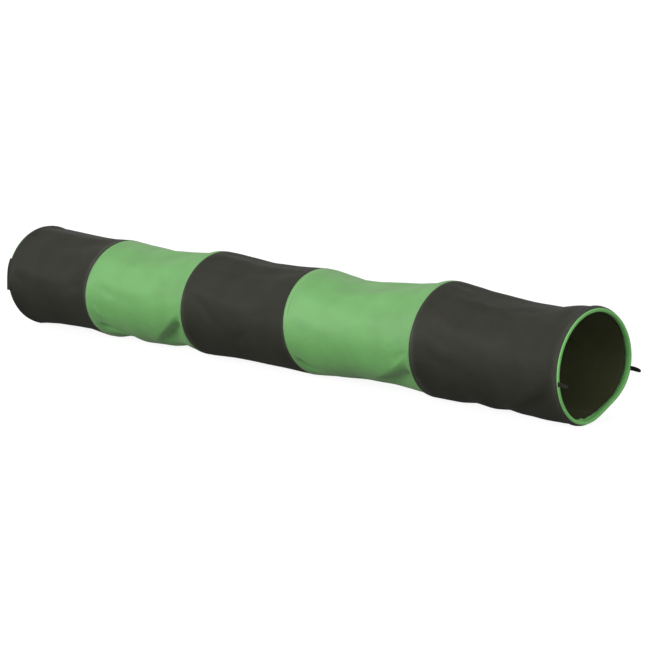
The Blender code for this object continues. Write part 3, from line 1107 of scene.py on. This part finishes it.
def make_wires():
    for k in range(6):
        paint_node(f"hoop_{k + 1}", spring_steel)
        paint_node(f"hoop_sleeve_{k + 1}", sleeve_metal)


# Loops and straps.

def curve_tube(name, points, radius, material, sides):
    """A round cord along points, as a mesh with UVs in metres and capped ends."""
    rings, uv, faces = [], [], []
    normal = None
    run = 0.0
    for k, point in enumerate(points):
        ahead = points[min(k + 1, len(points) - 1)] - points[max(k - 1, 0)]
        ahead.normalize()
        if normal is None:
            normal = ahead.orthogonal().normalized()
        normal = (normal - ahead * normal.dot(ahead)).normalized()
        across = ahead.cross(normal)
        if k:
            run += (point - points[k - 1]).length
        for s in range(sides + 1):
            turn = TAU * s / sides
            rings.append(point + (normal * math.cos(turn) + across * math.sin(turn)) * radius)
            uv.append((turn * radius, run))
    width = sides + 1
    for k in range(len(points) - 1):
        for s in range(sides):
            a, b = k * width + s, k * width + s + 1
            faces.append((a, b, b + width, a + width))
    faces.append(tuple(range(sides))[::-1])
    last = (len(points) - 1) * width
    faces.append(tuple(last + s for s in range(sides)))
    item = add_mesh(name, [tuple(p) for p in rings], faces, uv, material)
    weld(item, 1e-7)
    return item


def make_loop(side):
    """A doubled elastic cord: its two strands leave the binding apart and close at the tip."""
    low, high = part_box(f"near_loop_{side}")
    cord = 1.8 * MM  # its radius
    half = 1.75 * MM  # half the way between the strands at the root
    droop = 2.0 * MM
    sideways = 0.5 * MM
    steps = 48
    root = Vector((low.x - 0.3 * MM, (low.y + high.y) / 2, (low.z + high.z) / 2))
    length = high.x - root.x - cord
    points = []
    for k in range(steps + 1):
        bend = math.pi * k / steps
        reach = math.sin(bend) ** 0.6
        along = length * reach
        apart = math.copysign(abs(math.cos(bend)) ** 0.8, math.cos(bend))
        across = half * apart * (1 - 0.25 * reach)
        sway = sideways * math.sin(2 * bend)
        points.append(root + Vector((along, sway, across - droop * reach ** 2)))
    item = curve_tube(f"elastic_loop_{side}", points, cord, elastic_cloth, 14)
    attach(item, f"loop_{side}")
    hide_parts(f"near_loop_{side}")


STRAP_TOP = math.radians(25)  # where a strap is sewn on, above the tunnel's widest place
STRAP_GAP = 0.7 * MM  # between the fabric and the strap


def make_strap(side):
    """A strap that follows the panel down from where it is sewn on, and then hangs straight."""
    sign = -1 if side == "left" else 1
    node = f"closing_strap_{side}"
    low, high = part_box(node)
    middle_x, width = (low.x + high.x) / 2, high.x - low.x
    inner = RADIUS + STRAP_GAP
    hang = CENTER_Z[0] - low.z
    arc = STRAP_TOP * inner
    rows, columns = 60, 9
    points, uv = [], []
    for r in range(rows + 1):
        run = (arc + hang) * r / rows
        if run < arc:
            angle = STRAP_TOP - run / inner
            side_at, up_at = inner * math.cos(angle), CENTER_Z[0] + inner * math.sin(angle)
            ny, nz = math.cos(angle), math.sin(angle)
        else:
            side_at, up_at = inner, CENTER_Z[0] - (run - arc)
            ny, nz = 1.0, 0.0
        ripple = 0.25 * MM * math.sin(run / (7 * MM)) * min(run / (10 * MM), 1)
        for c in range(columns):
            across = (c / (columns - 1) - 0.5) * width
            crown = 0.15 * MM * (1 - (2 * c / (columns - 1) - 1) ** 2)
            lift = ripple + crown + 0.25 * MM
            points.append((middle_x + across, sign * (side_at + ny * lift), up_at + nz * lift))
            uv.append((across, run))
    faces = []
    for r in range(rows):
        for c in range(columns - 1):
            a = r * columns + c
            quad = (a, a + 1, a + 1 + columns, a + columns)
            faces.append(quad if sign > 0 else quad[::-1])
    item = add_mesh(f"webbing_{side}", points, faces, uv, webbing_cloth)
    give_wall(item, 0.9 * MM, 0.6)
    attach(item, f"strap_{side}")
    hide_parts(node)


place_camera()
make_studio()
simulate_panels()
make_panels()
make_stitching()
for seam in range(1, 5):
    make_tape(seam)
make_binding(0, "mouth_binding_far", -1)
make_binding(5, "mouth_binding_near", 1)
make_wires()
for side in ("left", "right"):
    make_loop(side)
    make_strap(side)
